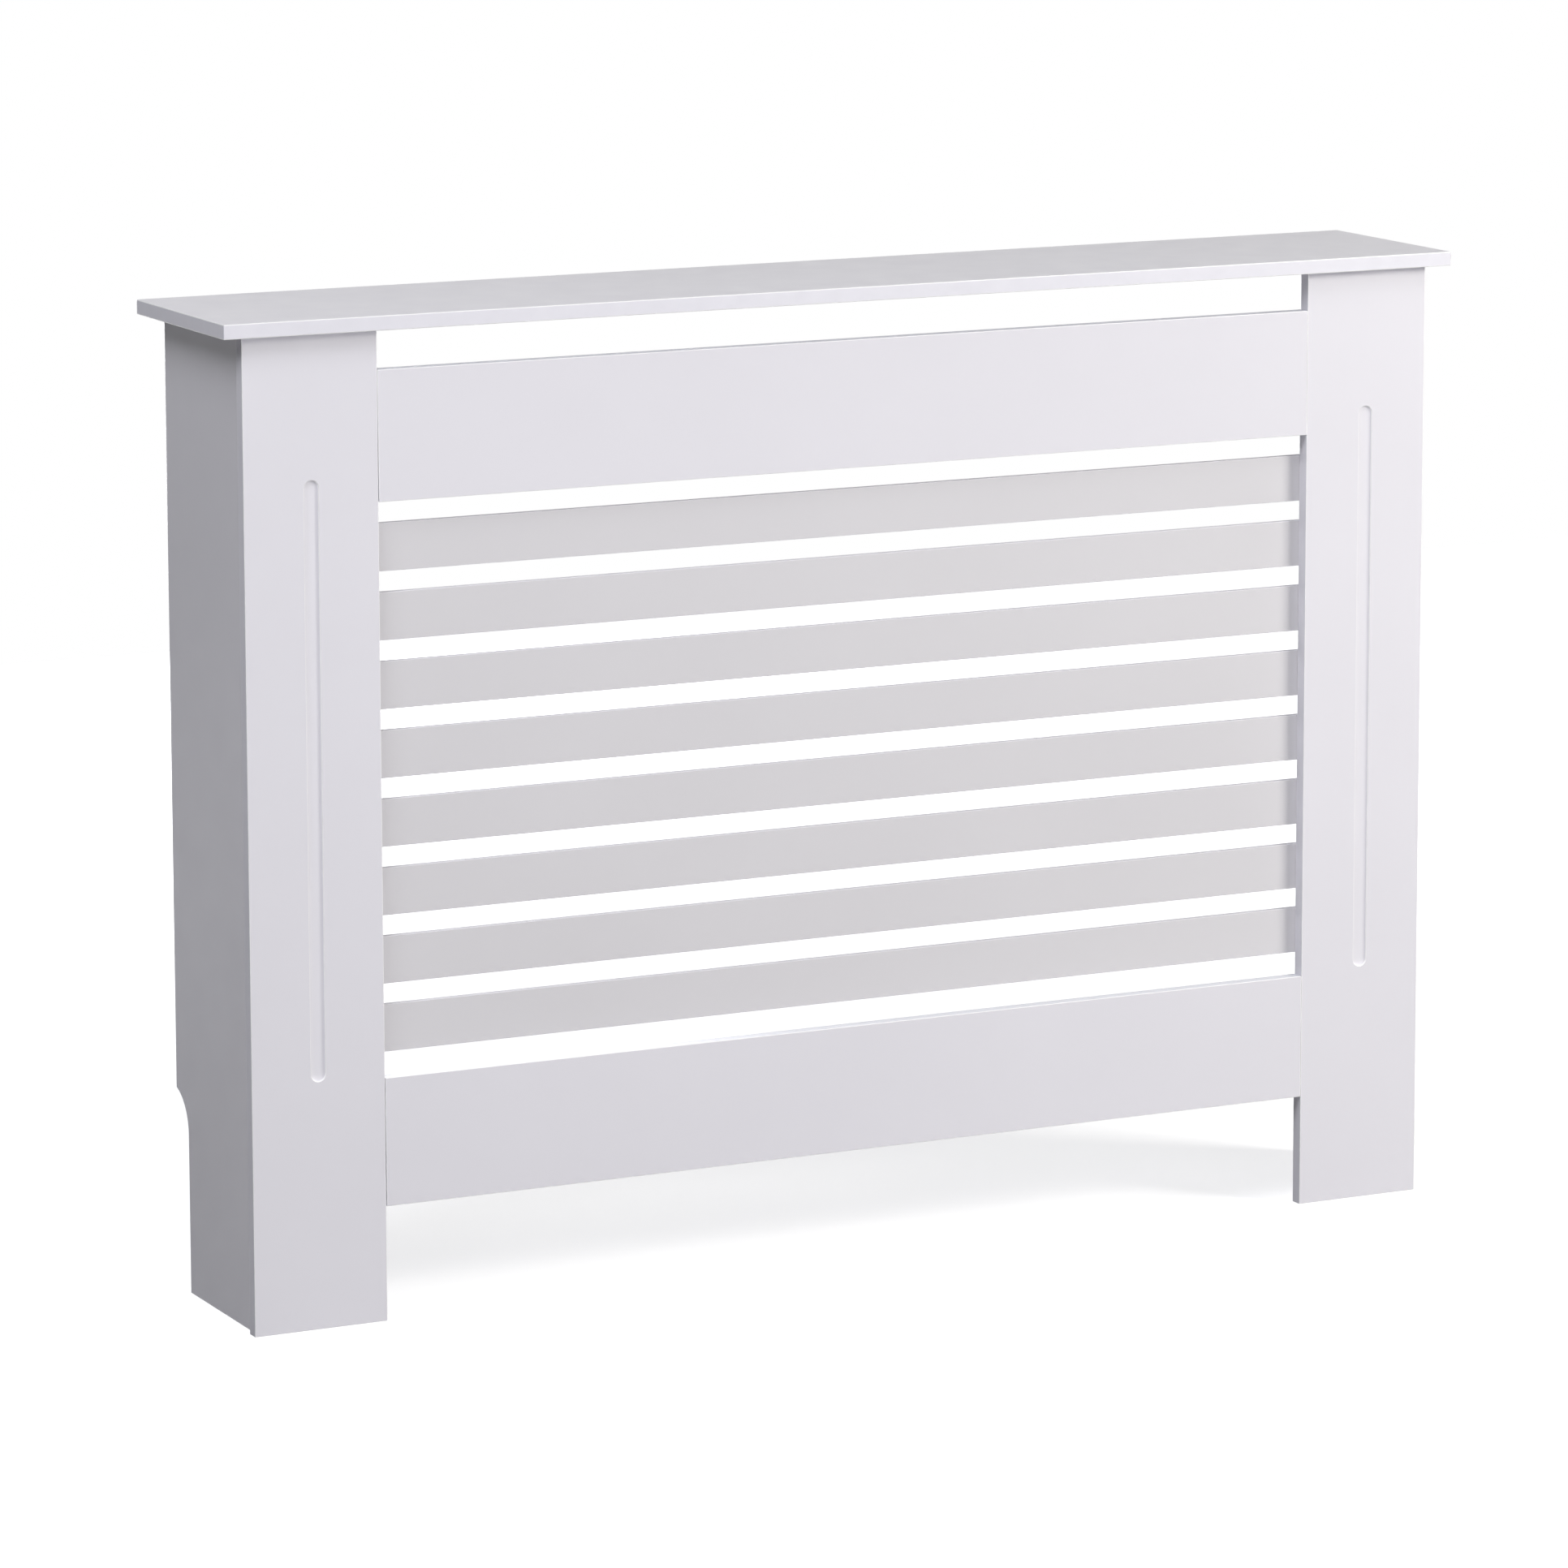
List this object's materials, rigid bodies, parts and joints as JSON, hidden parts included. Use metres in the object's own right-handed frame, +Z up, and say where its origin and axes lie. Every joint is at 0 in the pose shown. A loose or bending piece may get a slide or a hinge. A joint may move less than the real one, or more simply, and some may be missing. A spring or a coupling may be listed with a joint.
{
  "type": "radiator cover",
  "caption": "White slatted radiator cover with a flat shelf, grooved front posts, plain rails, open back and side panels notched for a skirting board.",
  "frame": {"origin": "on the floor, under the middle of the shelf: the centre of the bounding box's bottom face", "axes": "+X along the wall to the right as seen from the room, +Y towards the wall, +Z up; the slatted front faces -Y"},
  "size_m": [1.12, 0.19, 0.82],
  "materials": {
    "painted_board": "satin white paint on fibreboard, edges slightly eased",
    "painted_slat": "satin white paint on thin fibreboard strips",
    "zinc_steel": "bright zinc plated steel",
    "zinc_alloy": "die-cast zinc alloy, dull",
    "beech": "bare fluted beech dowel"
  },
  "bodies": {
    "root": {"shelf": "painted_board", "side_panel_left": "painted_board", "side_panel_right": "painted_board", "stile_left": "painted_board", "stile_right": "painted_board", "rail_top": "painted_board", "rail_bottom": "painted_board", "slat_1": "painted_slat", "slat_2": "painted_slat", "slat_3": "painted_slat", "slat_4": "painted_slat", "slat_5": "painted_slat", "slat_6": "painted_slat", "slat_7": "painted_slat", "slat_8": "painted_slat", "slat_screw_1_left": "zinc_steel", "slat_screw_1_right": "zinc_steel", "slat_screw_2_left": "zinc_steel", "slat_screw_2_right": "zinc_steel", "slat_screw_3_left": "zinc_steel", "slat_screw_3_right": "zinc_steel", "slat_screw_4_left": "zinc_steel", "slat_screw_4_right": "zinc_steel", "slat_screw_5_left": "zinc_steel", "slat_screw_5_right": "zinc_steel", "slat_screw_6_left": "zinc_steel", "slat_screw_6_right": "zinc_steel", "slat_screw_7_left": "zinc_steel", "slat_screw_7_right": "zinc_steel", "slat_screw_8_left": "zinc_steel", "slat_screw_8_right": "zinc_steel", "rail_dowel_top_left": "beech", "rail_dowel_top_right": "beech", "rail_dowel_bottom_left": "beech", "rail_dowel_bottom_right": "beech", "rail_bolt_top_left": "zinc_steel", "rail_bolt_top_right": "zinc_steel", "rail_bolt_bottom_left": "zinc_steel", "rail_bolt_bottom_right": "zinc_steel", "rail_cam_top_left": "zinc_alloy", "rail_cam_top_right": "zinc_alloy", "rail_cam_bottom_left": "zinc_alloy", "rail_cam_bottom_right": "zinc_alloy", "side_bolt_upper_left": "zinc_steel", "side_bolt_upper_right": "zinc_steel", "side_bolt_lower_left": "zinc_steel", "side_bolt_lower_right": "zinc_steel", "side_cam_upper_left": "zinc_alloy", "side_cam_upper_right": "zinc_alloy", "side_cam_lower_left": "zinc_alloy", "side_cam_lower_right": "zinc_alloy", "shelf_bolt_left": "zinc_steel", "shelf_bolt_right": "zinc_steel", "shelf_cam_left": "zinc_alloy", "shelf_cam_right": "zinc_alloy", "wall_bracket_left": "zinc_steel", "wall_bracket_right": "zinc_steel", "bracket_screw_left": "zinc_steel", "bracket_screw_right": "zinc_steel"}
  },
  "joints": []
}
